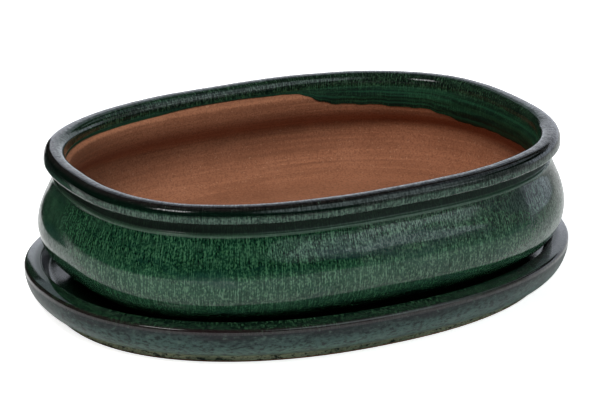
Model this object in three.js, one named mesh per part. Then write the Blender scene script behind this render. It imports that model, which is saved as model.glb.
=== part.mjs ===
// An oval bonsai pot standing in its own saucer, in millimetres, +Z up.
// Both pieces are stoneware with a running glaze. The pot is bare clay inside and underneath.
// The origin is on the ground under the middle of the saucer, with the long axis along X.

import * as THREE from "three";
import { mergeVertices } from "three/addons/utils/BufferGeometryUtils.js";

// The fired glaze coat on both pieces.
const GLAZE = 0.75;

// The pot's outline, over the glaze at the rim, and how square the oval is: 2 is a true ellipse.
const RIM_LENGTH = 310;
const RIM_WIDTH = 225;
const RIM_SQUARENESS = 2.5;
const POT_HEIGHT = 80;
const WALL = 7;

// The rolled rim: its width, how far its crest rises over its widest line, and its underside.
const ROLL_WIDTH = 11.5;
const ROLL_RISE = 7;
const ROLL_UNDERCUT = 2;
const ROLL_OVERHANG = 8.25;
const ROLL_FULLNESS = 2.5;

// The neck under the rim, the shoulder below it, and the throat behind them on the inside.
const NECK_HEIGHT = 9.25;
const NECK_LEAN = 1;
const NECK_WALL = 6.25;
const COVE_RISE = 2.5;
const SHOULDER_STEP = 2.75;
const THROAT_DEPTH = 12;

// The swollen belly, the hollow behind it, and the base that it tucks in to.
const BELLY_HEIGHT = 34.25;
const BELLY_BULGE = 3.75;
const BELLY_TUCK = 29.75;
const HOLLOW_HEIGHT = 42;
const SHOULDER_FLARE = 2.25;
const SHOULDER_TENSION = 0.31;
const BELLY_TENSION = 0.38;
const THROAT_TENSION = 0.45;
const HOLLOW_TENSION = 0.72;
const FLOOR = 8;
const FLOOR_COVE = 4;

// The glaze stops above the base. Inside it runs a little way down from the roll, further along the
// right-hand half of both sides and furthest round the right-hand end. Directions are in degrees.
const BARE_BASE_DEG = 20;
const GLAZE_SHORT_RUN = 1;
const GLAZE_SIDE_RUN = 12.5;
const GLAZE_END_RUN = 18.5;
const GLAZE_WAVE = 0.75;
const GLAZE_WAVES = 9;
const SIDE_RUN_DEG = 79;
const SIDE_RUN_FADE_DEG = 8;
const END_RUN_DEG = 36;
const END_RUN_FADE_DEG = 30;

// Four luted feet along the edge of the base, and two drain holes in the floor.
const FOOT_HEIGHT = 6.5;
const FOOT_WIDTH = 14;
const FOOT_SETBACK = 3;
const FOOT_DRAFT = 2;
const FOOT_DIRECTION_DEG = 42;
const FOOT_SPAN_DEG = 48;
const FOOT_SOLE_SPAN_DEG = 43;
const DRAIN_RADIUS = 9;
const DRAIN_SPACING = 120;

// The saucer: its reach past the rim, its own oval, its lip and its well.
const SAUCER_REACH = 13.25;
const SAUCER_SQUARENESS = 2.2;
const SAUCER_HEIGHT = 25.5;
const SAUCER_SLAB = 8;
const LIP_WIDTH = 8.25;
const LIP_ROUNDING = 1.5;
const WELL_STEP = 3;
const WELL_STEP_DROP = 4;
const WELL_COVE = 10;

// The saucer's foot ring and the hollow inside it.
const RING_INSET = 13.5;
const RING_HEIGHT = 5;
const RING_WIDTH = 10;
const RING_DRAFT = 0.5;
const BARE_RING = 1.25;

// The pot stands loose, a little off the middle of its saucer.
const POT_ASIDE = 1.25;
const POT_FORWARD = 2.25;

// Steps along the curves and round the ovals.
const STATIONS = 48;
const BELLY_STEPS = 5;
const COVE_STEPS = 3;
const UNDERCUT_STEPS = 2;
const ROLL_STEPS = 8;
const RUN_STEPS = 4;
const INSIDE_STEPS = 9;
const SAUCER_WALL_STEPS = 5;
const LIP_STEPS = 2;
const WELL_STEPS = 3;
const DRAIN_STEPS = 20;
const FOOT_STEPS = 8;

const CLAY = { color: 0x9a5f45, roughness: 0.9, metalness: 0 };
const POT_GLAZE = { color: 0x1c4733, roughness: 0.12, metalness: 0 };
const SAUCER_GLAZE = { color: 0x2a4136, roughness: 0.18, metalness: 0 };

const ANGLES = Array.from({ length: STATIONS }, (_, step) => (step * 2 * Math.PI) / STATIONS);
const { degToRad, lerp, smoothstep } = THREE.MathUtils;
const point = (offset, height) => new THREE.Vector2(offset, height);

// A power that keeps its sign, for superellipses.
function signedPower(value, power) {
  return Math.sign(value) * Math.abs(value) ** power;
}

// An oval in plan. It returns the place at an outward direction, moved out by an offset, at a height.
function oval(length, width, squareness) {
  const dual = squareness / (squareness - 1);
  const halfLength = length / 2;
  const halfWidth = width / 2;
  return (angle, offset, height) => {
    const across = Math.cos(angle);
    const along = Math.sin(angle);
    const reach = Math.abs(halfLength * across) ** dual + Math.abs(halfWidth * along) ** dual;
    const shrink = reach ** ((1 - dual) / dual);
    const x = halfLength ** dual * signedPower(across, dual - 1) * shrink;
    const y = halfWidth ** dual * signedPower(along, dual - 1) * shrink;
    return new THREE.Vector3(x + offset * across, y + offset * along, height);
  };
}

// Rings round an oval, one for each point of a profile, which may change with the direction.
function rings(plan, profileAt) {
  const columns = ANGLES.map((angle) => profileAt(angle).map((p) => plan(angle, p.x, p.y)));
  return columns[0].map((_, row) => columns.map((column) => column[row]));
}

// The outer face of a coat of even thickness on a profile, with mitred corners.
function thicken(profile, thickness) {
  const normals = profile.slice(1).map((end, i) => {
    const run = end.clone().sub(profile[i]).normalize();
    return point(run.y, -run.x);
  });
  return profile.map((place, i) => {
    const before = normals[Math.max(i - 1, 0)];
    const after = normals[Math.min(i, normals.length - 1)];
    const middle = before.clone().add(after).normalize();
    return place.clone().addScaledVector(middle, thickness / middle.dot(after));
  });
}

// A closed surface gathered from bands and caps of triangles.
class Surface {
  constructor() {
    this.corners = [];
  }

  triangle(a, b, c, turned) {
    this.corners.push(a, ...(turned ? [c, b] : [b, c]));
  }

  // Bands between rings that follow each other. A turned wall has the same triangles, facing the other way.
  wall(ringList, turned = false) {
    ringList.slice(1).forEach((upper, i) => {
      const lower = ringList[i];
      lower.forEach((corner, k) => {
        const next = (k + 1) % lower.length;
        this.triangle(corner, lower[next], upper[next], turned);
        this.triangle(corner, upper[next], upper[k], turned);
      });
    });
    return this;
  }

  // A flat face inside a level ring, round any holes.
  cap(ring, facesUp, holes = []) {
    const corners = [ring, ...holes].flat();
    THREE.ShapeUtils.triangulateShape(ring, holes).forEach(([a, b, c]) => {
      const [p, q, r] = [corners[a], corners[b], corners[c]];
      const area = (q.x - p.x) * (r.y - p.y) - (q.y - p.y) * (r.x - p.x);
      this.triangle(p, q, r, area > 0 !== facesUp);
    });
    return this;
  }

  geometry() {
    return mergeVertices(new THREE.BufferGeometry().setFromPoints(this.corners));
  }
}

function piece(name, surface, look) {
  const mesh = new THREE.Mesh(surface.geometry(), new THREE.MeshStandardMaterial(look));
  mesh.name = name;
  return mesh;
}

// The pot's clay in section, as offsets from the clay's rim line and heights over the soles of its feet.
const crest = POT_HEIGHT - GLAZE;
const rollLine = crest - ROLL_RISE;
const neckTop = rollLine - ROLL_UNDERCUT;
const shoulder = point(SHOULDER_STEP - ROLL_OVERHANG, neckTop - NECK_HEIGHT);
const bellyFront = point(BELLY_BULGE, BELLY_HEIGHT);
const bellyBack = point(BELLY_BULGE - WALL, HOLLOW_HEIGHT);
const baseEdge = point(BELLY_BULGE - BELLY_TUCK, FOOT_HEIGHT);
const floorTop = FOOT_HEIGHT + FLOOR;
const floorEdge = point(baseEdge.x - FLOOR_COVE, floorTop);
const rollEnd = point(-ROLL_WIDTH, rollLine);
const throat = point(-ROLL_OVERHANG - NECK_WALL, crest - THROAT_DEPTH);

const lowerBelly = new THREE.EllipseCurve(
  baseEdge.x,
  BELLY_HEIGHT,
  BELLY_TUCK,
  BELLY_HEIGHT - FOOT_HEIGHT,
  -Math.PI / 2,
  0,
);
const upperBelly = new THREE.CubicBezierCurve(
  bellyFront,
  point(bellyFront.x, lerp(bellyFront.y, shoulder.y, BELLY_TENSION)),
  point(shoulder.x + SHOULDER_FLARE, lerp(shoulder.y, bellyFront.y, SHOULDER_TENSION)),
  shoulder,
);
const neckCove = new THREE.QuadraticBezierCurve(
  shoulder,
  point(NECK_LEAN - ROLL_OVERHANG, shoulder.y + COVE_RISE),
  point(-ROLL_OVERHANG, neckTop),
);
const undercut = new THREE.EllipseCurve(
  -ROLL_OVERHANG,
  rollLine,
  ROLL_OVERHANG,
  ROLL_UNDERCUT,
  -Math.PI / 2,
  0,
);

// The inside wall from the roll to the floor: in at the throat, out behind the belly, then round.
const insideWall = new THREE.CurvePath();
[[rollEnd, throat], [throat, bellyBack]].forEach(([upper, lower]) => {
  insideWall.add(
    new THREE.CubicBezierCurve(
      upper,
      point(upper.x, lerp(upper.y, lower.y, THROAT_TENSION)),
      point(lower.x, lerp(lower.y, upper.y, THROAT_TENSION)),
      lower,
    ),
  );
});
insideWall.add(
  new THREE.CubicBezierCurve(
    bellyBack,
    point(bellyBack.x, lerp(bellyBack.y, floorTop, HOLLOW_TENSION)),
    point(lerp(floorEdge.x, bellyBack.x, HOLLOW_TENSION), floorTop),
    floorEdge,
  ),
);

// The rolled rim from its widest line, over the crest and down to the same height inside.
function rollPoint(turn) {
  const half = ROLL_WIDTH / 2;
  const power = 2 / ROLL_FULLNESS;
  const out = signedPower(Math.cos(turn), power);
  const up = signedPower(Math.sin(turn), power);
  return point(half * (out - 1), rollLine + ROLL_RISE * up);
}

// How near a direction lies to the right-hand end: 1 inside an angle and 0 outside it.
function nearRight(angle, middle, fade) {
  const fromRight = Math.abs(Math.atan2(Math.sin(angle), Math.cos(angle)));
  return 1 - smoothstep(fromRight, degToRad(middle - fade / 2), degToRad(middle + fade / 2));
}

// How far down the inside the glaze reaches at a direction, as a share of the inside wall.
function glazeReach(angle) {
  const onSide = nearRight(angle, SIDE_RUN_DEG, SIDE_RUN_FADE_DEG);
  const onEnd = nearRight(angle, END_RUN_DEG, END_RUN_FADE_DEG);
  const wave = GLAZE_WAVE * Math.sin(GLAZE_WAVES * angle);
  const deep = lerp(GLAZE_SIDE_RUN, GLAZE_END_RUN, onEnd) + wave;
  return lerp(GLAZE_SHORT_RUN, deep, onSide) / insideWall.getLength();
}

const bareShare = BARE_BASE_DEG / 90;

// The glazed stretch of clay: up the belly, in at the neck, over the rim and down the inside.
function glazedClay(angle) {
  const reach = glazeReach(angle);
  const steps = (count) => Array.from({ length: count }, (_, i) => (i + 1) / count);
  return [
    lowerBelly.getPoint(bareShare),
    ...steps(BELLY_STEPS).map((t) => lowerBelly.getPoint(lerp(bareShare, 1, t))),
    ...steps(BELLY_STEPS).map((t) => upperBelly.getPoint(t)),
    ...steps(COVE_STEPS).map((t) => neckCove.getPoint(t)),
    ...steps(UNDERCUT_STEPS).map((t) => undercut.getPoint(t)),
    ...steps(ROLL_STEPS).map((t) => rollPoint(Math.PI * t)),
    ...steps(RUN_STEPS).map((t) => insideWall.getPoint(reach * t)),
  ];
}

// The bare stretch inside, from the glaze's edge to the edge of the floor.
function bareInside(angle) {
  const reach = glazeReach(angle);
  const steps = Array.from({ length: INSIDE_STEPS + 1 }, (_, i) => i / INSIDE_STEPS);
  return steps.map((t) => insideWall.getPoint(lerp(reach, 1, t)));
}

const potPlan = oval(RIM_LENGTH - 2 * GLAZE, RIM_WIDTH - 2 * GLAZE, RIM_SQUARENESS);
const bareBase = rings(potPlan, () => [0, 0.5, 1].map((t) => lowerBelly.getPoint(bareShare * t)));
const glazedRings = rings(potPlan, glazedClay);
const coatRings = rings(potPlan, (angle) => thicken(glazedClay(angle), GLAZE));
const insideRings = rings(potPlan, bareInside);

function drainRing(side, height) {
  return Array.from({ length: DRAIN_STEPS }, (_, step) => {
    const turn = (step * 2 * Math.PI) / DRAIN_STEPS;
    const x = (side * DRAIN_SPACING) / 2 + DRAIN_RADIUS * Math.cos(turn);
    return new THREE.Vector3(x, DRAIN_RADIUS * Math.sin(turn), height);
  });
}

// The pot's clay: base, belly, neck, rolled rim and inside in one body, with drain holes through its floor.
function potBody() {
  const drainsBelow = [-1, 1].map((side) => drainRing(side, FOOT_HEIGHT));
  const drainsAbove = [-1, 1].map((side) => drainRing(side, floorTop));
  const surface = new Surface()
    .cap(bareBase[0], false, drainsBelow)
    .wall(bareBase)
    .wall(glazedRings)
    .wall(insideRings)
    .cap(insideRings.at(-1), true, drainsAbove);
  drainsBelow.forEach((below, i) => surface.wall([below, drainsAbove[i]], true));
  return piece("pot_body", surface, CLAY);
}

// The glaze coat lies on the clay and ends in a blunt edge above the base and inside.
function potGlaze() {
  const surface = new Surface()
    .wall([glazedRings[0], ...coatRings, glazedRings.at(-1)])
    .wall(glazedRings, true);
  return piece("pot_glaze", surface, POT_GLAZE);
}

// A foot follows the edge of the base and draws in towards its sole.
function foot(name, middle) {
  const top = baseEdge.x - FOOT_SETBACK;
  const sections = Array.from({ length: FOOT_STEPS + 1 }, (_, step) => {
    const share = step / FOOT_STEPS - 0.5;
    const above = degToRad(middle + share * FOOT_SPAN_DEG);
    const below = degToRad(middle + share * FOOT_SOLE_SPAN_DEG);
    return [
      potPlan(below, top - FOOT_WIDTH + FOOT_DRAFT, 0),
      potPlan(below, top - FOOT_DRAFT, 0),
      potPlan(above, top, FOOT_HEIGHT),
      potPlan(above, top - FOOT_WIDTH, FOOT_HEIGHT),
    ];
  });
  const surface = new Surface().wall(sections, true);
  const [first, last] = [sections[0], sections.at(-1)];
  [[first, false], [last, true]].forEach(([end, turned]) => {
    surface.triangle(end[0], end[1], end[2], turned);
    surface.triangle(end[0], end[2], end[3], turned);
  });
  return piece(name, surface, CLAY);
}

// The saucer's clay in section, as offsets from the clay's lip line and heights over the ground.
const lipTop = SAUCER_HEIGHT - GLAZE;
const lipLine = lipTop - LIP_ROUNDING;
const seat = RING_HEIGHT + SAUCER_SLAB + GLAZE;
const lipBack = -LIP_WIDTH;
const stepFoot = point(lipBack - WELL_STEP, lipLine - WELL_STEP_DROP);
const wellEdge = point(stepFoot.x - WELL_COVE, RING_HEIGHT + SAUCER_SLAB);
const saucerWall = new THREE.EllipseCurve(
  -RING_INSET,
  lipLine,
  RING_INSET,
  lipLine - RING_HEIGHT,
  -Math.PI / 2,
  0,
);
const lipFront = new THREE.EllipseCurve(-LIP_ROUNDING, lipLine, LIP_ROUNDING, LIP_ROUNDING, 0, Math.PI / 2);
const lipRear = new THREE.EllipseCurve(
  lipBack + LIP_ROUNDING,
  lipLine,
  LIP_ROUNDING,
  LIP_ROUNDING,
  Math.PI / 2,
  Math.PI,
);
const wellCove = new THREE.QuadraticBezierCurve(
  stepFoot,
  point(stepFoot.x - WELL_STEP, wellEdge.y),
  wellEdge,
);

// The glazed stretch: up the ring's side, out under the wall, over the lip and down into the well.
const glazedSaucer = [
  point(-RING_INSET - RING_DRAFT, BARE_RING),
  ...saucerWall.getPoints(SAUCER_WALL_STEPS),
  ...lipFront.getPoints(LIP_STEPS).slice(1),
  ...lipRear.getPoints(LIP_STEPS),
  ...wellCove.getPoints(WELL_STEPS),
];

// The bare foot ring, from the hollow's edge to the start of the glaze.
const bareRing = [
  point(-RING_INSET - RING_WIDTH - RING_DRAFT, RING_HEIGHT),
  point(-RING_INSET - RING_WIDTH, 0),
  point(-RING_INSET - RING_DRAFT, 0),
  glazedSaucer[0],
];

const saucerPlan = oval(
  RIM_LENGTH + 2 * (SAUCER_REACH - GLAZE),
  RIM_WIDTH + 2 * (SAUCER_REACH - GLAZE),
  SAUCER_SQUARENESS,
);
const ringRings = rings(saucerPlan, () => bareRing);
const saucerRings = rings(saucerPlan, () => glazedSaucer);
const saucerCoat = rings(saucerPlan, () => thicken(glazedSaucer, GLAZE));

// The saucer's clay: a foot ring round a hollow, a flared wall, a flat lip and a shallow well.
function saucerBody() {
  const surface = new Surface()
    .cap(ringRings[0], false)
    .wall(ringRings)
    .wall(saucerRings)
    .cap(saucerRings.at(-1), true);
  return piece("saucer_body", surface, CLAY);
}

// The saucer's glaze covers all but the sole of the ring and the hollow. The pot's feet stand on it.
function saucerGlaze() {
  const surface = new Surface()
    .wall([saucerRings[0], ...saucerCoat])
    .cap(saucerCoat.at(-1), true)
    .wall(saucerRings, true)
    .cap(saucerRings.at(-1), false);
  return piece("saucer_glaze", surface, SAUCER_GLAZE);
}

const saucer = new THREE.Group();
saucer.add(saucerBody(), saucerGlaze());

const pot = new THREE.Group();
pot.position.set(POT_ASIDE, -POT_FORWARD, seat);
pot.add(
  potBody(),
  potGlaze(),
  foot("foot_back_right", FOOT_DIRECTION_DEG),
  foot("foot_back_left", 180 - FOOT_DIRECTION_DEG),
  foot("foot_front_left", 180 + FOOT_DIRECTION_DEG),
  foot("foot_front_right", 360 - FOOT_DIRECTION_DEG),
);

const assembly = new THREE.Group();
assembly.add(saucer, pot);

export default assembly;
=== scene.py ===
import math

import bpy
from mathutils import Matrix, Vector, noise
from mathutils.geometry import interpolate_bezier


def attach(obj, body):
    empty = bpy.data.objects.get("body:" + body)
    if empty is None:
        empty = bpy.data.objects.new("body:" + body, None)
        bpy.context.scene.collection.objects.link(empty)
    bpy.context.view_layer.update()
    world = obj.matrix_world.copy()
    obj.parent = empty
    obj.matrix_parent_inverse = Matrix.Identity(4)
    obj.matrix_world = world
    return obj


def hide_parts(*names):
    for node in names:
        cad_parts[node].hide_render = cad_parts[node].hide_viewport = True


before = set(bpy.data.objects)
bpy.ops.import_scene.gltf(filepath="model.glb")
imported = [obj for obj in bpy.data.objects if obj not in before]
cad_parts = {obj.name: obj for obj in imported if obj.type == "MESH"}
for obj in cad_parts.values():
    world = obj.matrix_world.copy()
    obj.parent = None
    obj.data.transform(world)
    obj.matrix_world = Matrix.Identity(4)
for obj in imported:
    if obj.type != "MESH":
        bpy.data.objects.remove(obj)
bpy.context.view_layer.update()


# The saucer's clay.
# It is red stoneware pressed in an oval mould: a foot ring round a shallow hollow, and a slab with a
# flared wall. It is glazed all over but for the hollow and the ring's sole, which stay bare.

MM = 0.001
STATIONS = 360
SAUCER_OVAL = (336.5, 251.5, 2.2)
GLAZE = 0.75
RING_SOLE = -24.25
RING_FRONT = -14.75
RING_HEIGHT = 5
RING_ROUNDING = 0.4
RING_GLAZE_LINE = 1.25
WALL_FLARE = 13.5
LIP_LINE = 23.1
LIP_EDGE = 25.3
LIP_ROUNDING = 2.0
LIP_BACK = -9.0
LIP_BACK_ROUNDING = 1.8
LIP_BACK_RISE = 0.8
SAUCER_HEIGHT = 26.4
WELL_STEP = (-11.9, 20.6)
WELL_EDGE = -24
WELL_FLOOR = 13.75
CLAY_SMOOTH = 40


def arc(centre, radii, start, end, steps):
    """Points on an ellipse between two directions in degrees, both ends among them."""
    turns = [math.radians(start + (end - start) * step / steps) for step in range(steps + 1)]
    return [(centre[0] + radii[0] * math.cos(t), centre[1] + radii[1] * math.sin(t)) for t in turns]


def bend(start, start_pull, end_pull, end, steps):
    """Points on a curve between two places, each left or reached along its pull."""
    knots = [Vector((*place, 0)) for place in (start, start_pull, end_pull, end)]
    return [(p.x, p.y) for p in interpolate_bezier(*knots, steps + 1)]


def coat_back(section, depth):
    """The same section moved back into the clay by a depth, with mitred corners."""
    places = [Vector(place) for place in section]
    runs = [(b - a).normalized() for a, b in zip(places, places[1:])]
    backs = [Vector((-run.y, run.x)) for run in runs]
    moved = []
    for i, place in enumerate(places):
        before = backs[max(i - 1, 0)]
        after = backs[min(i, len(backs) - 1)]
        middle = (before + after).normalized()
        moved.append(tuple(place + middle * depth / max(middle.dot(after), 0.5)))
    return moved


def tidy(section):
    """A section without the places where two of its curves meet twice."""
    kept = section[:1]
    for place in section[1:]:
        if (Vector(place) - Vector(kept[-1])).length > 0.01:
            kept.append(place)
    return kept


def flat_curve(name, places, closed):
    curve = bpy.data.curves.new(name, "CURVE")
    curve.dimensions = "2D"
    curve.fill_mode = "NONE"
    line = curve.splines.new("POLY")
    line.points.add(len(places) - 1)
    for spot, (x, y) in zip(line.points, places):
        spot.co = (x * MM, y * MM, 0, 1)
    line.use_cyclic_u = closed
    piece = bpy.data.objects.new(name, curve)
    bpy.context.collection.objects.link(piece)
    return piece


def alone(piece):
    bpy.ops.object.select_all(action="DESELECT")
    piece.select_set(True)
    bpy.context.view_layer.objects.active = piece


def oval(length, width, squareness):
    """Places round an oval in plan, clockwise. A squareness of 2 is an ellipse."""
    places = []
    for step in range(STATIONS):
        turn = -2 * math.pi * step / STATIONS
        across, deep = math.cos(turn), math.sin(turn)
        reach = (abs(across) ** squareness + abs(deep) ** squareness) ** (-1 / squareness)
        places.append((length / 2 * across * reach, width / 2 * deep * reach))
    return places


def swept(name, plan, section, place, closed=False):
    """A section of (offset, height) places carried round an oval, as a gauge is run round a mould."""
    piece = flat_curve(name, oval(*plan), True)
    gauge = flat_curve(name + "_gauge", section, closed)
    piece.data.bevel_mode = "OBJECT"
    piece.data.bevel_object = gauge
    alone(piece)
    bpy.ops.object.convert(target="MESH")
    bpy.data.objects.remove(gauge)
    bpy.ops.object.mode_set(mode="EDIT")
    bpy.ops.mesh.select_all(action="SELECT")
    bpy.ops.transform.translate(value=[part * MM for part in place])
    bpy.ops.object.mode_set(mode="OBJECT")
    return piece


def select_ring(piece, count, row):
    """Selects one row of the section all round the oval."""
    alone(piece)
    bpy.ops.object.mode_set(mode="EDIT")
    bpy.ops.mesh.select_mode(type="VERT")
    bpy.ops.mesh.select_all(action="DESELECT")
    bpy.ops.object.mode_set(mode="OBJECT")
    for spot in piece.data.vertices:
        spot.select = spot.index < count * STATIONS and spot.index % count == row % count
    bpy.ops.object.mode_set(mode="EDIT")


def close_ends(piece, count):
    """Fills the first and last rows of a swept section with a flat face each."""
    for row in (0, -1):
        select_ring(piece, count, row)
        bpy.ops.mesh.edge_face_add()
        bpy.ops.object.mode_set(mode="OBJECT")


def finish_mesh(piece, smooth_degrees):
    alone(piece)
    bpy.ops.object.mode_set(mode="EDIT")
    bpy.ops.mesh.select_all(action="SELECT")
    bpy.ops.mesh.normals_make_consistent(inside=False)
    bpy.ops.object.mode_set(mode="OBJECT")
    bpy.ops.object.shade_smooth_by_angle(angle=math.radians(smooth_degrees))


ring_outside = [
    (RING_FRONT + GLAZE, RING_GLAZE_LINE),
    (RING_FRONT + 1.1, RING_HEIGHT - 0.6),
    (RING_FRONT + 1.6, RING_HEIGHT),
]
lip_back_height = SAUCER_HEIGHT - LIP_LINE - LIP_BACK_RISE
saucer_coat = tidy(
    ring_outside
    + arc((-WALL_FLARE, LIP_LINE), (WALL_FLARE, LIP_LINE - RING_HEIGHT), -82, 0, 26)
    + arc((-LIP_ROUNDING, LIP_LINE), (LIP_ROUNDING, LIP_EDGE - LIP_LINE), 0, 76, 8)
    + arc((LIP_BACK, LIP_LINE + LIP_BACK_RISE), (LIP_BACK_ROUNDING, lip_back_height), 78, 165, 9)
    + bend(WELL_STEP, (-12.8, 16.6), (-17, WELL_FLOOR), (WELL_EDGE, WELL_FLOOR), 14)
)
bare_ring = [
    (RING_SOLE - 0.5, RING_HEIGHT),
    (RING_SOLE, RING_ROUNDING),
    (RING_SOLE + RING_ROUNDING, 0),
    (RING_FRONT - RING_ROUNDING, 0),
    (RING_FRONT, RING_ROUNDING),
    (RING_FRONT, RING_GLAZE_LINE),
]
saucer_clay = bare_ring + coat_back(saucer_coat, GLAZE)[1:]

saucer_body = swept("saucer_clay", SAUCER_OVAL, [(-d, z) for d, z in saucer_clay], (0, 0, 0))
close_ends(saucer_body, len(saucer_clay))
finish_mesh(saucer_body, CLAY_SMOOTH)


class Field:
    """A value that changes over a surface. Sums and products of fields add their own nodes."""

    def __init__(self, socket):
        self.socket = socket

    def joined(self, operation, first, second):
        node = self.socket.id_data.nodes.new("ShaderNodeMath")
        node.operation = operation
        for inlet, value in zip(node.inputs, (first, second)):
            feed(inlet, value)
        return Field(node.outputs[0])

    def __add__(self, other):
        return self.joined("ADD", self, other)

    def __sub__(self, other):
        return self.joined("SUBTRACT", self, other)

    def __rsub__(self, other):
        return self.joined("SUBTRACT", other, self)

    def __mul__(self, other):
        return self.joined("MULTIPLY", self, other)

    __radd__ = __add__
    __rmul__ = __mul__


def feed(inlet, value):
    if isinstance(value, Field):
        inlet.id_data.links.new(value.socket, inlet)
    elif isinstance(value, (tuple, list)) and inlet.type == "RGBA":
        inlet.default_value = (*value, 1)
    else:
        inlet.default_value = value


class Finish:
    """A material that is built up node by node round one shiny or matt surface."""

    def __init__(self, name):
        self.material = bpy.data.materials.new(name)
        self.material.use_nodes = True
        self.tree = self.material.node_tree
        self.surface = self.tree.nodes["Principled BSDF"]

    def node(self, kind, settings=None, sockets=None, outlet=0):
        node = self.tree.nodes.new(kind)
        for key, value in (settings or {}).items():
            if key == "stops":
                ramp_stops(node.color_ramp, value)
            else:
                setattr(node, key, value)
        for key, value in (sockets or {}).items():
            inlet = next(s for s in node.inputs if key in (s.identifier, s.name) and s.enabled)
            feed(inlet, value)
        if isinstance(outlet, int):
            return Field(node.outputs[outlet])
        return Field(next(s for s in node.outputs if outlet in (s.identifier, s.name) and s.enabled))

    def noise(self, vector, scale, detail=2.0, roughness=0.5, distortion=0.0):
        sockets = {"Vector": vector, "Scale": scale, "Detail": detail}
        sockets |= {"Roughness": roughness, "Distortion": distortion}
        return self.node("ShaderNodeTexNoise", None, sockets)

    def stretched(self, vector, scale, offset=(0, 0, 0)):
        sockets = {"Vector": vector, "Vector_001": scale, "Vector_002": offset}
        return self.node("ShaderNodeVectorMath", {"operation": "MULTIPLY_ADD"}, sockets)

    def band(self, value, low, high):
        """0 below the first number and 1 above the second, with a smooth rise between."""
        sockets = {"Value": value, "From Min": low, "From Max": high}
        return self.node("ShaderNodeMapRange", {"interpolation_type": "SMOOTHSTEP"}, sockets)

    def mix(self, share, first, second):
        sockets = {"Factor_Float": share, "A_Color": first, "B_Color": second}
        return self.node("ShaderNodeMix", {"data_type": "RGBA"}, sockets, "Result_Color")

    def ramp(self, value, stops):
        return self.node("ShaderNodeValToRGB", {"stops": stops}, {"Fac": value})

    def bump(self, height, distance, strength):
        sockets = {"Height": height, "Distance": distance, "Strength": strength}
        return self.node("ShaderNodeBump", None, sockets)

    def surface_is(self, **sockets):
        for key, value in sockets.items():
            feed(self.surface.inputs[key.replace("_", " ")], value)
        return self.material


def ramp_stops(ramp, stops):
    while len(ramp.elements) < len(stops):
        ramp.elements.new(0.5)
    for element, (position, colour) in zip(ramp.elements, stops):
        element.position = position
        element.color = (*colour, 1)


DUSTY_CLAY = (0.36, 0.155, 0.086)
DARK_GRAIN = (0.13, 0.046, 0.023)
PALE_GROG = (0.52, 0.30, 0.19)


def bare_clay():
    """Fired red clay, wiped with a wet sponge: fine level marks, grog specks and paler dusty patches."""
    look = Finish("bare_clay")
    place = look.node("ShaderNodeTexCoord", outlet="Object")
    wiping = look.noise(look.stretched(place, (9, 9, 520)), 1.0, 4.0, 0.6, 0.4)
    patches = look.noise(place, 26.0, 3.0)
    grain = look.noise(place, 900.0, 2.0, 0.7)
    grog = look.noise(look.stretched(place, (1, 1, 1), (3, 7, 1)), 800.0, 1.0)
    ground = look.ramp(wiping, [(0.3, (0.20, 0.078, 0.040)), (0.7, (0.31, 0.126, 0.066))])
    ground = look.mix(look.band(patches, 0.4, 0.75) * 0.4, ground, DUSTY_CLAY)
    ground = look.mix(look.band(grain, 0.44, 0.66) * 0.6, ground, DARK_GRAIN)
    ground = look.mix(look.band(grog, 0.66, 0.74) * 0.3, ground, PALE_GROG)
    relief = wiping * 0.6 + grain * 0.4
    return look.surface_is(
        Base_Color=ground,
        Roughness=0.9 - 0.12 * patches,
        IOR=1.4,
        Normal=look.bump(relief, 0.0006, 0.55),
    )


CLAY = bare_clay()
saucer_body.data.materials.append(CLAY)
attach(saucer_body, "saucer")
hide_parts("saucer_body")


# The saucer's glaze.
# A fired coat of the same green glaze as the pot's: thin, greyer and duller on the flared wall, glossy
# on the lip, and darkened in the well as painted shade under the pot. The wall's foot is painted paler,
# as painted light from the table. It breaks to dark brown along the lip's outer edge.

COAT_DEPTH = 0.9
GLAZE_SMOOTH = 50
LEAF_GREEN = (0.030, 0.086, 0.020)
MILKY_GREEN = (0.040, 0.094, 0.058)
BLUE_BLACK = (0.003, 0.017, 0.016)
DARK_FLECK = (0.007, 0.012, 0.012)
PALE_FLECK = (0.082, 0.125, 0.098)
EDGE_BROWN = (0.011, 0.005, 0.006)
LIP_BLACK = (0.001, 0.003, 0.002)
LIP_GREEN = (0.013, 0.036, 0.017)
# Painted shade for the well under the pot.
WELL_SHADE = (0.002, 0.011, 0.005)


def with_flow(piece, section, rows, plan):
    """Stores on each spot where a drop that runs over it has come from, and how far it has run."""
    starts = [(x * MM, y * MM) for x, y in oval(*plan)]
    run = [0.0]
    for a, b in zip(section, section[1:]):
        run.append(run[-1] + (Vector(b) - Vector(a)).length * MM)
    flow = piece.data.attributes.new("flow", "FLOAT_VECTOR", "POINT")
    for spot in piece.data.vertices:
        station, row = divmod(spot.index, len(rows))
        flow.data[spot.index].vector = (*starts[station], run[rows[row]])


def run_length(section, stop):
    """How far along a section, in metres, its nearest place to a given place lies."""
    run, best = 0.0, (1e9, 0.0)
    for a, b in zip(section, section[1:]):
        best = min(best, ((Vector(a) - Vector(stop)).length, run))
        run += (Vector(b) - Vector(a)).length * MM
    return min(best, ((Vector(section[-1]) - Vector(stop)).length, run))[1]


saucer_shell = list(reversed(coat_back(saucer_coat, COAT_DEPTH))) + saucer_coat
saucer_glaze = swept("saucer_glaze_coat", SAUCER_OVAL, [(-d, z) for d, z in saucer_shell], (0, 0, 0))
with_flow(saucer_glaze, saucer_shell, range(len(saucer_shell)), SAUCER_OVAL)
close_ends(saucer_glaze, len(saucer_shell))
finish_mesh(saucer_glaze, GLAZE_SMOOTH)


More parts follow.
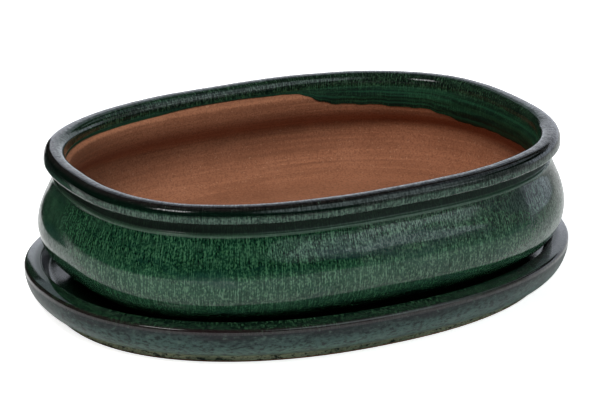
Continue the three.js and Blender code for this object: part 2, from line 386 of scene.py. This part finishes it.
def running_green(look, flow, fine, length):
    """The glaze's own colour: fine green runs with dark gaps between them, in paler and darker drifts."""
    hairs = look.noise(look.stretched(flow, (fine, fine, length)), 1.0, 2.0, 0.6)
    bead_scale = (fine * 0.5, fine * 0.5, fine * 0.32)
    beads = look.noise(look.stretched(flow, bead_scale, (5, 2, 8)), 1.0, 2.0, 0.6)
    runs = 0.5 * hairs + 0.5 * beads
    drifts = look.noise(look.stretched(flow, (24, 24, 80)), 1.0, 5.0, 0.62, 0.3)
    green = look.ramp(runs, [
        (0.40, (0.001, 0.004, 0.003)),
        (0.47, (0.003, 0.020, 0.010)),
        (0.53, (0.012, 0.052, 0.025)),
        (0.60, (0.057, 0.160, 0.083)),
    ])
    green = look.mix(look.band(beads, 0.5, 0.70) * 0.35, green, LEAF_GREEN)
    green = look.mix(look.band(drifts, 0.50, 0.34) * 0.2, green, MILKY_GREEN)
    green = look.mix(look.band(drifts, 0.48, 0.66) * 0.7, green, BLUE_BLACK)
    return green, runs, drifts


def saucer_glaze_look():
    look = Finish("saucer_glaze")
    flow = look.node("ShaderNodeAttribute", {"attribute_name": "flow"}, outlet="Vector")
    down = look.node("ShaderNodeSeparateXYZ", None, {"Vector": flow}, outlet="Z")
    green, runs, drifts = running_green(look, flow, 1700, 300)
    wall = run_length(saucer_shell, saucer_coat[3])
    arris = run_length(saucer_shell, (-0.4, 24.0))
    well = run_length(saucer_shell, (-12.5, 18.5))
    on_wall = 1 - look.band(down, arris - 0.002, arris + 0.001)
    rise = look.node("ShaderNodeMapRange", None, {"Value": down, "From Min": wall, "From Max": arris})
    dusk = look.noise(look.stretched(flow, (26, 26, 150), (2, 9, 4)), 1.0, 4.0, 0.6)
    # The wall's own tones from foot to arris. The foot's stop is partly the glaze's olive and partly
    # painted light: it is made much paler, standing in for the table's bounce light on the ring.
    bands_and_foot_light = look.ramp(rise + 0.6 * dusk - 0.3, [
        (0.0, (0.300, 0.320, 0.205)),
        (0.14, (0.064, 0.095, 0.056)),
        (0.36, (0.050, 0.104, 0.082)),
        (0.62, (0.040, 0.074, 0.067)),
        (0.90, (0.015, 0.014, 0.018)),
    ])
    mottle = look.noise(look.stretched(flow, (280, 280, 520), (3, 1, 6)), 1.0, 5.0, 0.7, 0.2)
    fleck = look.mix(look.band(mottle, 0.37, 0.55), DARK_FLECK, bands_and_foot_light)
    fleck = look.mix(look.band(mottle, 0.54, 0.70) * 0.7, fleck, PALE_FLECK)
    colour = look.mix(on_wall * 0.95, green, fleck)
    past_edge = look.band(down, arris + 0.0010, arris + 0.0030)
    edge = look.band(down, arris - 0.0030, arris - 0.0006) * (1 - past_edge)
    colour = look.mix(edge * (0.62 + 0.5 * drifts), colour, EDGE_BROWN)
    on_lip = look.band(down, arris, arris + 0.003)
    grainy = look.mix(look.band(runs, 0.49, 0.58), LIP_BLACK, LIP_GREEN)
    colour = look.mix(on_lip * 0.9, colour, grainy)
    # Painted shade: the well round the pot's foot is darkened, as shade under the pot.
    colour = look.mix(look.band(down, well - 0.002, well + 0.004) * 0.85, colour, WELL_SHADE)
    past_lip = look.band(down, arris + 0.0050, arris + 0.0085)
    glossy = look.band(down, arris - 0.0032, arris - 0.0014)
    grain = 0.6 + 0.4 * look.band(runs, 0.45, 0.57)
    return look.surface_is(
        Base_Color=colour,
        Roughness=0.30 - 0.22 * glossy,
        IOR=1.5,
        Specular_IOR_Level=0.16,
        Coat_Weight=0.03 + 0.82 * glossy * (1 - 0.85 * past_lip) * grain,
        Coat_Roughness=0.06,
        Normal=look.bump(runs * 0.3 + drifts, 0.0004, 0.2),
    )


saucer_glaze.data.materials.append(saucer_glaze_look())
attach(saucer_glaze, "saucer")
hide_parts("saucer_glaze")


# The pot's clay.
# One thick oval body of red stoneware, pressed in a mould and scraped smooth: a base, a swollen belly,
# a neck and a rolled rim. Its inside stays bare, and two round holes drain its floor.

POT_OVAL = (310, 225, 2.5)
POT_PLACE = (1.25, -2.25, WELL_FLOOR)
BASE_EDGE = -26.75
FOOT_HEIGHT = 6.5
BELLY = (3.75, 34.25)
BELLY_SWEEP = (29.75, 27.75)
SHOULDER = (-5.2, 61.1)
NECK_FOOT = (-6.4, 63.0)
NECK = -8.6
CREASE = 70
ROLL_LINE = 72.4
ROLL_HALF = 6.5
ROLL_RISE = 7.6
ROLL_FULLNESS = 0.8
ROLL_FOOT = (1.3, 1.5)
ROLL_END = (-12.25, 72.2)
THROAT = (-15.2, 67)
BELLY_BACK = (-4, 42)
FLOOR_EDGE = (-30.75, 14.5)
DRAIN_RADIUS = 9
DRAIN_SPACING = 120
DRILL_LENGTH = 40


def roll(steps):
    """The rolled rim from its widest line over the crest to the inside, a little fuller than round."""
    places = []
    for step in range(steps + 1):
        turn = math.pi * step / steps
        out = math.copysign(abs(math.cos(turn)) ** ROLL_FULLNESS, math.cos(turn))
        up = abs(math.sin(turn)) ** ROLL_FULLNESS
        places.append((ROLL_HALF * (out - 1), ROLL_LINE + ROLL_RISE * up))
    return places


inside_wall = tidy(
    bend(ROLL_END, (ROLL_END[0], 70), (THROAT[0], 69.6), THROAT, 10)
    + bend(THROAT, (THROAT[0], 50), (BELLY_BACK[0], 51), BELLY_BACK, 30)
    + bend(BELLY_BACK, (BELLY_BACK[0], 23), (-12, FLOOR_EDGE[1]), FLOOR_EDGE, 30)
)
sweep_middle = (BELLY[0] - BELLY_SWEEP[0], BELLY[1])
pot_outside = tidy(
    arc(sweep_middle, BELLY_SWEEP, -70, 0, 24)
    + bend(BELLY, (BELLY[0], 44.5), (-2.65, 53.3), SHOULDER, 30)
    + bend((-5.25, 61.4), (-5.3, 62.3), (-5.6, 62.8), NECK_FOOT, 6)
    + bend((-6.55, 63.2), (-7.5, 64.9), (-8.5, 66.9), (NECK, CREASE - 0.6), 10)
    + [(NECK + 0.6, CREASE), (-3, CREASE + 0.3)]
    + arc((-ROLL_FOOT[0], ROLL_LINE - 0.3), ROLL_FOOT, -80, 0, 8)
    + roll(30)
)
pot_clay = tidy(
    [(BASE_EDGE + 3, FOOT_HEIGHT)]
    + arc((sweep_middle[0] - GLAZE, sweep_middle[1]), BELLY_SWEEP, -88, -71, 5)
    + coat_back(pot_outside, GLAZE)[:-1]
    + inside_wall
)

pot_body = swept("pot_clay", POT_OVAL, [(-d, z) for d, z in pot_clay], POT_PLACE)
close_ends(pot_body, len(pot_clay))
for side in (-1, 1):
    bpy.ops.object.select_all(action="DESELECT")
    middle = (POT_PLACE[0] + side * DRAIN_SPACING / 2, POT_PLACE[1], POT_PLACE[2] + FOOT_HEIGHT)
    bpy.ops.mesh.primitive_cylinder_add(
        vertices=48,
        radius=DRAIN_RADIUS * MM,
        depth=DRILL_LENGTH * MM,
        location=[part * MM for part in middle],
    )
    drill = bpy.context.object
    cut = pot_body.modifiers.new("drain", "BOOLEAN")
    cut.object = drill
    cut.solver = "EXACT"
    alone(pot_body)
    bpy.ops.object.modifier_apply(modifier=cut.name)
    bpy.data.objects.remove(drill)
finish_mesh(pot_body, CLAY_SMOOTH)
pot_body.data.materials.clear()
pot_body.data.materials.append(CLAY)
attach(pot_body, "pot")
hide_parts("pot_body")


# The feet.
# Four low curved blocks of the same clay, stuck with slip under the edge of the base before firing.
# They stay bare, and water drains away between them.

for name in ("foot_back_right", "foot_back_left", "foot_front_left", "foot_front_right"):
    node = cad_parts[name]
    node.data.materials.clear()
    node.data.materials.append(CLAY)


# The pot's glaze.
# A thick running glaze, dipped and drained: streaked green on the belly, broken to brown on the rim.
# Inside it ends just under the rim, and runs deeper down the wall at the right-hand end.

RIPPLE_HEIGHT = 0.24
RIPPLE_ROUND = 0.012
RIPPLE_LEVEL = 0.13
UNEVEN_SIZE = 35
UNEVEN_HEIGHT = 0.7
RIDGE_HEIGHT = 0.2
EDGE_BEAD = 0.4
RUN_WAVE = 0.03
RUN_STEPS = 18
DEEP_RUN = 20.0
RUN_EDGE = [
    (-180, 1.1), (-90, 0.8), (-73, 1.2), (-68, 7), (-60, 12), (-40, 14), (-20, 18.5), (2, 18.2), (14, 20),
    (23, 19.5), (31, 16.6), (38, 13.6), (46, 13.6), (54, 12.6), (61, 11), (66, 8.6), (69, 4.6), (71.5, 2.2),
    (76, 1.4), (87, 0.6), (97, 0.6), (114, 2.2), (140, 1.4), (180, 1.1),
]


def along(section, distance):
    """The place that lies a distance along a section."""
    for a, b in zip(section, section[1:]):
        length = (Vector(b) - Vector(a)).length
        if distance <= length:
            return tuple(Vector(a).lerp(Vector(b), distance / length))
        distance -= length
    return section[-1]


run_face = [along(inside_wall, DEEP_RUN * step / RUN_STEPS) for step in range(1, RUN_STEPS + 1)]
pot_coat = pot_outside + [(d - GLAZE, z) for d, z in run_face]
OUTSIDE_ROWS = len(pot_outside)
coat_inner = [row for row in range(len(pot_coat)) if row >= OUTSIDE_ROWS or row % 3 == 0]
inner_section = coat_back(pot_coat, COAT_DEPTH)
shell_rows = list(range(len(pot_coat))) + coat_inner[::-1]
pot_shell = pot_coat + [inner_section[row] for row in coat_inner[::-1]]


def glaze_reach(x, y):
    """How far the glaze runs down the inside at a place on the rim, in millimetres."""
    turn = math.degrees(math.atan2(y / POT_OVAL[1], x / POT_OVAL[0]))
    for (start, low), (end, high) in zip(RUN_EDGE, RUN_EDGE[1:]):
        if start <= turn <= end:
            share = (turn - start) / (end - start)
            break
    wave = math.sin(turn * 0.31 + 1.0) + 0.6 * math.sin(turn * 0.83) + 0.4 * math.sin(turn * 1.7 + 2)
    reach = low + (high - low) * share * share * (3 - 2 * share)
    return reach + RUN_WAVE * reach * wave


def draw_up(piece):
    """Draws the coat's edge inside the pot up to where the glaze ends at each place round the rim."""
    rim = oval(*POT_OVAL)
    for spot in piece.data.vertices:
        station, row = divmod(spot.index, len(pot_shell))
        run_row = shell_rows[row] - OUTSIDE_ROWS
        if run_row < 0:
            continue
        share = (run_row + 1) / RUN_STEPS
        reach = glaze_reach(*rim[station])
        old_offset, old_height = run_face[run_row]
        offset, height = along(inside_wall, reach * share)
        if row < len(pot_coat):
            ridges = math.sin(reach * share * 1.15 + 0.5 * math.sin(station * 0.08))
            offset -= RIDGE_HEIGHT * ridges * min(reach * (1 - share), 2) / 2
            offset += EDGE_BEAD * GLAZE * share ** 8
        radial = outward(rim, station)
        spot.co.x += (offset - old_offset) * MM * radial[0]
        spot.co.y += (offset - old_offset) * MM * radial[1]
        spot.co.z += (height - old_height) * MM


def outward(rim, station):
    before, after = rim[station - 1], rim[(station + 1) % STATIONS]
    tangent = (Vector(after) - Vector(before)).normalized()
    return -tangent.y, tangent.x


def ripple(piece):
    """Gives the belly the faint level waves that scraping leaves under a glaze."""
    rim = oval(*POT_OVAL)
    belly_rows = sum(1 for place in pot_outside if place[1] <= SHOULDER[1])
    for spot in piece.data.vertices:
        station, row = divmod(spot.index, len(pot_shell))
        if row >= belly_rows:
            continue
        x, y = rim[station]
        level = pot_coat[row][1]
        swell = noise.noise(Vector((x * RIPPLE_ROUND, y * RIPPLE_ROUND, level * RIPPLE_LEVEL)))
        swell *= RIPPLE_HEIGHT * MM * math.sin(math.pi * row / belly_rows) ** 0.5
        radial = outward(rim, station)
        spot.co.x += swell * radial[0]
        spot.co.y += swell * radial[1]


pot_glaze = swept("pot_glaze_coat", POT_OVAL, [(-d, z) for d, z in pot_shell], POT_PLACE, closed=True)
with_flow(pot_glaze, pot_coat, shell_rows, POT_OVAL)
draw_up(pot_glaze)
ripple(pot_glaze)
unevenness = bpy.data.textures.new("unevenness", "CLOUDS")
unevenness.noise_scale = UNEVEN_SIZE * MM
settled = pot_glaze.modifiers.new("settled", "DISPLACE")
settled.texture = unevenness
settled.texture_coords = "LOCAL"
settled.strength = UNEVEN_HEIGHT * MM
alone(pot_glaze)
bpy.ops.object.modifier_apply(modifier=settled.name)
finish_mesh(pot_glaze, GLAZE_SMOOTH)

# Painted shade for the upper belly, where the glaze mirrors the dark room.
UPPER_BELLY_SHADE = (0.002, 0.013, 0.006)
# Painted reflection for the lower belly, paler as the table mirrored in it.
LOWER_BELLY_SHEEN = (0.026, 0.088, 0.048)
# Painted shade for the belly where it turns under.
UNDER_BELLY_SHADE = (0.001, 0.007, 0.003)
RIM_BLACK = (0.001, 0.004, 0.0025)
# Painted shade for the neck under the rolled rim.
NECK_SHADE = (0.008, 0.015, 0.011)
# Painted shade for the crease under the roll.
CREASE_SHADE = (0.001, 0.003, 0.002)
# Painted highlight for the shoulder's ledge.
LEDGE_HIGHLIGHT = (0.064, 0.112, 0.078)
POOL_GREEN = (0.006, 0.034, 0.015)
POOL_BLACK = (0.0005, 0.002, 0.001)


def pot_glaze_look():
    look = Finish("pot_glaze")
    flow = look.node("ShaderNodeAttribute", {"attribute_name": "flow"}, outlet="Vector")
    down = look.node("ShaderNodeSeparateXYZ", None, {"Vector": flow}, outlet="Z")
    green, runs, drifts = running_green(look, flow, 2000, 110)
    shoulder = run_length(pot_coat, SHOULDER)
    neck_foot = run_length(pot_coat, NECK_FOOT)
    crest = run_length(pot_coat, (-ROLL_HALF, ROLL_LINE + ROLL_RISE))
    crease = run_length(pot_coat, (NECK, CREASE))
    widest = run_length(pot_coat, (0, ROLL_LINE))
    throat = run_length(pot_coat, (-13, ROLL_LINE))
    breaks = look.noise(look.stretched(flow, (16, 16, 16), (7, 3, 1)), 1.0, 3.0)
    rim_top = look.band(down + 0.006 * breaks, widest + 0.0042, widest + 0.0066)
    past_crest = look.band(down, crest - 0.001, crest + 0.003)
    on_rim = rim_top * (1 - look.band(down, throat - 0.003, throat + 0.001))
    # The rim's lower outer face: its pale ramp is partly the glaze's green speckle and partly a painted
    # reflection of the table.
    rim_face_sheen = look.band(down, crease + 0.004, crease + 0.0075) * (1 - rim_top)
    pale = look.ramp(runs, [(0.42, (0.002, 0.014, 0.009)), (0.60, (0.040, 0.088, 0.060))])
    # Painted shade: a darker band on the upper belly, standing in for the dark room that it mirrors.
    upper = look.band(down, shoulder - 0.027, shoulder - 0.016)
    colour = look.mix(upper * 0.33, green, UPPER_BELLY_SHADE)
    # Painted reflection: the lower belly is made paler green, standing in for the table's pale reflection.
    above_tuck = look.band(down, shoulder - 0.050, shoulder - 0.044)
    lower = (1 - upper) * above_tuck
    colour = look.mix(lower * 0.3, colour, LOWER_BELLY_SHEEN)
    # Painted shade: below the tuck, where the belly turns under over the saucer, it is darkened.
    under = 1 - above_tuck
    colour = look.mix(under * 0.5, colour, UNDER_BELLY_SHADE)
    # Painted reflection, with the glaze's speckle: the rim's lower face is made pale green-grey.
    colour = look.mix(rim_face_sheen * 0.75, colour, pale)
    brown = look.ramp(runs, [
        (0.42, (0.002, 0.002, 0.002)),
        (0.58, (0.014, 0.010, 0.010)),
        (0.66, (0.030, 0.050, 0.038)),
    ])
    dark = look.mix(look.band(down, crest - 0.0065, crest - 0.0035), RIM_BLACK, brown)
    colour = look.mix(on_rim * (0.97 - past_crest * (0.75 - 0.7 * drifts)), colour, dark)
    above_foot = look.band(down, neck_foot - 0.0004, neck_foot + 0.0012)
    below_crease = 1 - look.band(down, crease + 0.002, crease + 0.005)
    neck = above_foot * below_crease
    # Painted shade: the neck under the rolled rim is darkened.
    colour = look.mix(neck * 0.75, colour, NECK_SHADE)
    # Painted shade: the crease under the rim's roll is darkened almost to black.
    crease_shade_mask = look.band(down, crease - 0.0034, crease - 0.0016) * below_crease
    colour = look.mix(crease_shade_mask * 0.85, colour, CREASE_SHADE)
    # Painted highlight: a pale line along the shoulder's ledge.
    ledge_highlight_mask = look.band(down, shoulder - 0.0002, shoulder + 0.0006) * (1 - above_foot)
    colour = look.mix(ledge_highlight_mask * 0.6, colour, LEDGE_HIGHLIGHT)
    inside = look.band(down, throat - 0.001, throat + 0.002)
    pools = look.noise(look.stretched(flow, (9, 9, 480), (1, 4, 2)), 1.0, 2.0)
    deep = look.mix(look.band(pools, 0.47, 0.53), POOL_GREEN, POOL_BLACK)
    colour = look.mix(inside * 0.62, colour, deep)
    rolled = look.band(down, crease + 0.003, crease + 0.006)
    speckle = look.band(runs, 0.44, 0.57)
    return look.surface_is(
        Base_Color=colour,
        Roughness=0.05 + 0.05 * drifts + 0.02 * rolled + 0.04 * speckle + 0.7 * inside + 0.5 * neck,
        IOR=1.52,
        Specular_IOR_Level=0.18,
        Coat_Weight=(0.05 + 0.85 * speckle) * (1 - inside) * (1 - neck),
        Coat_Roughness=0.05,
        Normal=look.bump(runs * 0.5 + drifts, 0.0005, 0.25),
    )


pot_glaze.data.materials.append(pot_glaze_look())
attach(pot_glaze, "pot")
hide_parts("pot_glaze")


# The table and the light.
# A pale table in a dark room, which keeps the front of the glaze deep. The glaze mirrors soft boxes and
# sheets that the camera doesn't see. The key lamp and the lamp behind aren't mirrored.

VIEW_AZIMUTH = math.radians(-29.48)
view_side = Vector((math.cos(VIEW_AZIMUTH), math.sin(VIEW_AZIMUTH), 0))
view_away = Vector((-math.sin(VIEW_AZIMUTH), math.cos(VIEW_AZIMUTH), 0))


def seen_rays(add_node):
    """1 where the camera looks, straight, by a reflection or through something clear."""
    rays = [add_node(outlet) for outlet in ("Is Camera Ray", "Is Glossy Ray", "Is Transmission Ray")]
    return rays[0] + rays[1] + rays[2]


def stage_look(name, colour, seen_glow, mirrored_glow):
    """A plain surface that the camera and the glaze's reflections see paler than it is lit."""
    look = Finish(name)
    straight = look.node("ShaderNodeLightPath", outlet="Is Camera Ray")
    mirrored = look.node("ShaderNodeLightPath", outlet="Is Glossy Ray")
    through = look.node("ShaderNodeLightPath", outlet="Is Transmission Ray")
    shine = look.mix(mirrored + through, (0, 0, 0), mirrored_glow)
    shine = look.mix(straight, shine, seen_glow)
    return look.surface_is(Base_Color=colour, Roughness=0.9, Emission_Color=shine, Emission_Strength=1.0)


def in_view(side, away, up):
    """A place given by how far it lies to the side of the view, away from the viewer and up."""
    return view_side * side + view_away * away + Vector((0, 0, up))


def stage_sheet(name, corners, look):
    bpy.ops.object.select_all(action="DESELECT")
    bpy.ops.mesh.primitive_plane_add(size=1)
    sheet = bpy.context.object
    sheet.name = name
    for spot, corner in zip(sheet.data.vertices, corners):
        spot.co = in_view(*corner)
    sheet.data.materials.append(look)
    return sheet


TABLE_FRONT = -2.0
TABLE_BACK = 1.5
TABLE_SIDE = 2.0
TABLE_LIP = 0.36
BACKDROP_TOP = 0.85
FLAG_TOP = 0.10
ROOM_RADIUS = 4.5
WHITE = (0.86, 0.86, 0.86)
UNSEEN = (0.5, 0.5, 0.5)
BLACK = (0, 0, 0)
NEAR_BLACK = (0.02, 0.02, 0.02)
table_look = stage_look("table_white", WHITE, (0.84, 0.84, 0.84), (0.04, 0.04, 0.04))
stage_sheet(
    "table",
    [(x, y, 0) for y in (TABLE_FRONT, TABLE_BACK) for x in (-TABLE_SIDE, TABLE_SIDE)],
    table_look,
)
lip = stage_sheet(
    "table_lip",
    [(x, TABLE_FRONT, z) for z in (0, TABLE_LIP) for x in (-TABLE_SIDE, TABLE_SIDE)],
    table_look,
)
backdrop = stage_sheet(
    "backdrop",
    [(x, TABLE_BACK, z) for z in (0, BACKDROP_TOP) for x in (-0.57, TABLE_SIDE)],
    stage_look("backdrop_white", WHITE, UNSEEN, (0.48, 0.51, 0.62)),
)
backdrop_top = stage_sheet(
    "backdrop_top",
    [(x, TABLE_BACK, z) for z in (BACKDROP_TOP, 1.9) for x in (-0.7, 0.75)],
    stage_look("backdrop_grey", (0.3, 0.3, 0.3), UNSEEN, (0.24, 0.29, 0.36)),
)
side_drop = stage_sheet(
    "side_drop",
    [(1.9, y, z) for z in (0, 0.7) for y in (0.25, TABLE_BACK)],
    stage_look("side_drop_white", WHITE, UNSEEN, (0.72, 0.80, 0.98)),
)
side_wall = stage_sheet(
    "side_wall",
    [(1.6, y, z) for z in (1.15, 3.2) for y in (-0.2, TABLE_BACK)],
    stage_look("side_wall_grey", (0.5, 0.5, 0.5), UNSEEN, (0.21, 0.27, 0.34)),
)
card = stage_sheet(
    "card",
    [(1.19, -0.98, 0), (1.75, 0.35, 0), (1.19, -0.98, 0.75), (1.75, 0.35, 0.84)],
    stage_look("card_grey", (0.6, 0.6, 0.6), UNSEEN, (0.06, 0.08, 0.08)),
)
flag = stage_sheet(
    "flag",
    [(-0.25, 0.20, 0), (-0.31, 0.02, 0), (-0.25, 0.20, FLAG_TOP), (-0.31, 0.02, FLAG_TOP)],
    stage_look("flag_black", NEAR_BLACK, BLACK, BLACK),
)
for sheet in (lip, backdrop, backdrop_top, side_drop, side_wall, card, flag):
    sheet.visible_camera = False
    sheet.visible_shadow = False

bpy.ops.object.select_all(action="DESELECT")
bpy.ops.mesh.primitive_uv_sphere_add(segments=48, ring_count=24, radius=ROOM_RADIUS)
room = bpy.context.object
room.name = "dark_room"
room.data.materials.append(stage_look("room_dark", NEAR_BLACK, BLACK, BLACK))
room.visible_camera = False


def soft_box(name, place, size, power, tint=(1, 1, 1), shape="RECTANGLE", aim=(0, 0, 0.05)):
    """A lamp behind a white cloth, at a place in the view and turned to face its aim."""
    lamp = bpy.data.lights.new(name, "AREA")
    lamp.shape = shape
    lamp.size, lamp.size_y = size
    lamp.energy = power
    lamp.color = tint
    holder = bpy.data.objects.new(name, lamp)
    bpy.context.collection.objects.link(holder)
    holder.location = in_view(*place)
    facing = in_view(*aim) - holder.location
    holder.rotation_euler = facing.to_track_quat("-Z", "Y").to_euler()
    return holder


COOL = (0.80, 0.98, 1.0)
STRIP_AIM = (0.83, -0.006, 0.425)
soft_box("left_box", (-0.70, -0.90, 1.18), (0.5, 0.4), 4)
soft_box("right_box", (0.99, -0.78, 1.06), (1.35, 1.0), 3.0, COOL, "ELLIPSE")
soft_box("right_halo", (1.02, -0.80, 1.09), (1.85, 1.4), 4.2, COOL, "ELLIPSE")
soft_box("right_strip", (1.05, -0.455, 0.425), (0.80, 0.18), 0.55, COOL, "ELLIPSE", STRIP_AIM)
key = soft_box("key_box", (-0.32, -0.76, 1.3), (0.7, 0.5), 19.5)
key.visible_glossy = False
fill = soft_box("back_box", (0.25, 1.1, 1.0), (0.8, 0.6), 5)
fill.visible_glossy = False

ROOM_LIGHT = (0.12, 0.12, 0.12)
SEEN_LIGHT = (1, 1, 1)
world = bpy.data.worlds.new("studio")
bpy.context.scene.world = world
world.use_nodes = True
air = world.node_tree


def air_rays(outlet):
    return Field(air.nodes.new("ShaderNodeLightPath").outputs[outlet])


shade = air.nodes.new("ShaderNodeMix")
shade.data_type = "RGBA"
feed(shade.inputs[0], seen_rays(air_rays))
feed(shade.inputs[6], ROOM_LIGHT)
feed(shade.inputs[7], SEEN_LIGHT)
air.links.new(shade.outputs[2], air.nodes["Background"].inputs["Color"])

scene = bpy.context.scene
scene.view_settings.view_transform = "Standard"


# The camera.
# It stands where the photograph was taken from, far off with a long lens, and looks a little down into
# the pot. It tilts slightly to one side, and its aim lies a few pixels off the target.

VIEW_ELEVATION = math.radians(19.74)
VIEW_ROLL = math.radians(0.5)
VIEW_DISTANCE = 1.8658
VIEW_TARGET = Vector((0.00125, -0.00225, 0.05))
FOCAL_PIXELS = 3138.87
IMAGE_WIDTH = 600
SENSOR_WIDTH = 36
AIM_PIXELS = (-4.16, 3.92)

towards = Vector((
    math.sin(VIEW_AZIMUTH) * math.cos(VIEW_ELEVATION),
    -math.cos(VIEW_AZIMUTH) * math.cos(VIEW_ELEVATION),
    math.sin(VIEW_ELEVATION),
))
stand = VIEW_TARGET + towards * VIEW_DISTANCE
pixel = VIEW_DISTANCE / FOCAL_PIXELS
view_up = towards.cross(view_side)
aim_point = VIEW_TARGET + view_side * AIM_PIXELS[0] * pixel + view_up * AIM_PIXELS[1] * pixel
back = (stand - aim_point).normalized()
side = Vector((0, 0, 1)).cross(back).normalized()
up = back.cross(side)
tilted_side = side * math.cos(VIEW_ROLL) + up * math.sin(VIEW_ROLL)
tilted_up = up * math.cos(VIEW_ROLL) - side * math.sin(VIEW_ROLL)

camera = bpy.data.cameras.new("camera")
camera.sensor_width = SENSOR_WIDTH
camera.lens = FOCAL_PIXELS * camera.sensor_width / IMAGE_WIDTH
viewer = bpy.data.objects.new("camera", camera)
bpy.context.collection.objects.link(viewer)
turn = Matrix((tilted_side, tilted_up, back)).transposed().to_4x4()
viewer.matrix_world = Matrix.Translation(stand) @ turn
scene.camera = viewer
